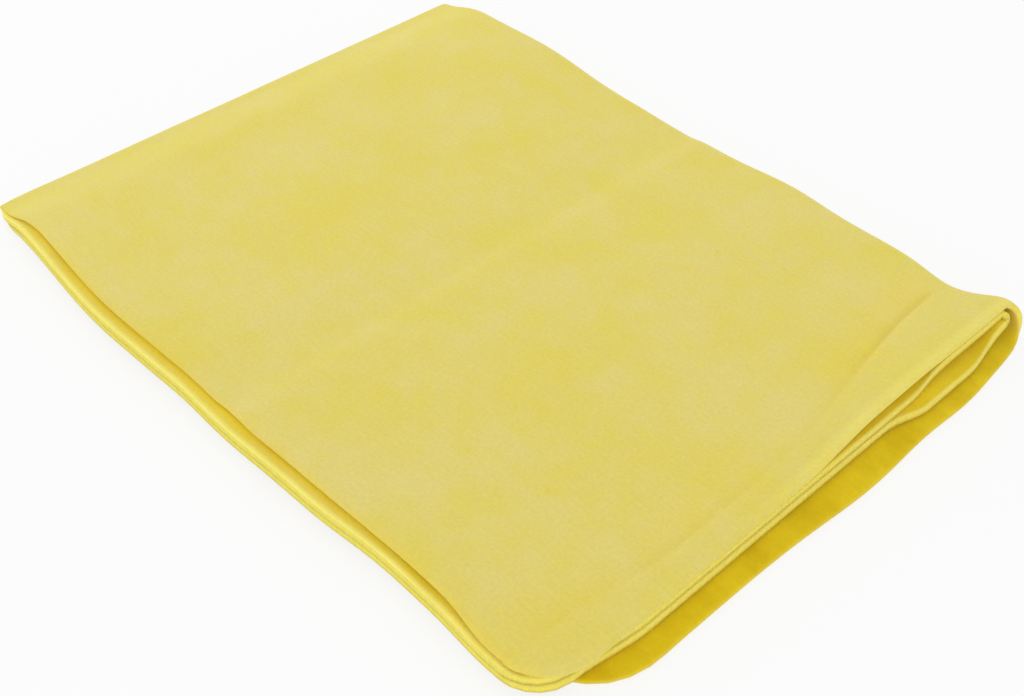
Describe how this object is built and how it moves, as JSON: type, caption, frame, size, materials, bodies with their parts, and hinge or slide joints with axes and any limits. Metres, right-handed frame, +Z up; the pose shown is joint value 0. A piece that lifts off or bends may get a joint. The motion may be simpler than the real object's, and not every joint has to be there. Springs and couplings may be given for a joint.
{
  "type": "synthetic chamois cloth",
  "caption": "Yellow needle-felt chamois cloth with plain cut edges and rounded corners, folded into a flat pad; the upper leaf opens at the main fold. For drying and wiping.",
  "frame": {"origin": "middle of the folded pad's outline, on the table that it lies on", "axes": "+X along the long side, from the side folds to the open short side; +Y from the open long side to the main fold; +Z up"},
  "size_m": [0.2648, 0.1984, 0.0127],
  "materials": {
    "felt_outer": "matte needle felt with a soft nap, pale lemon yellow",
    "felt_inner": "matte needle felt, deeper yellow between the layers"
  },
  "bodies": {
    "lower_leaf": {"bottom_panel": "felt_outer", "lower_inner_panel": "felt_inner", "lower_side_fold": "felt_outer", "outer_fold": "felt_outer", "inner_fold": "felt_inner", "corner_fold": "felt_outer"},
    "upper_leaf": {"upper_inner_panel": "felt_inner", "top_panel": "felt_outer", "upper_side_fold": "felt_outer"}
  },
  "joints": [
    {"name": "main_fold_open", "type": "hinge", "parent": "lower_leaf", "child": "upper_leaf", "pos_m": [0, 0.0992, 0.00635], "axis": [-1, 0, 0], "range_deg": [0, 180], "deforming": ["outer_fold", "inner_fold", "corner_fold"]}
  ]
}
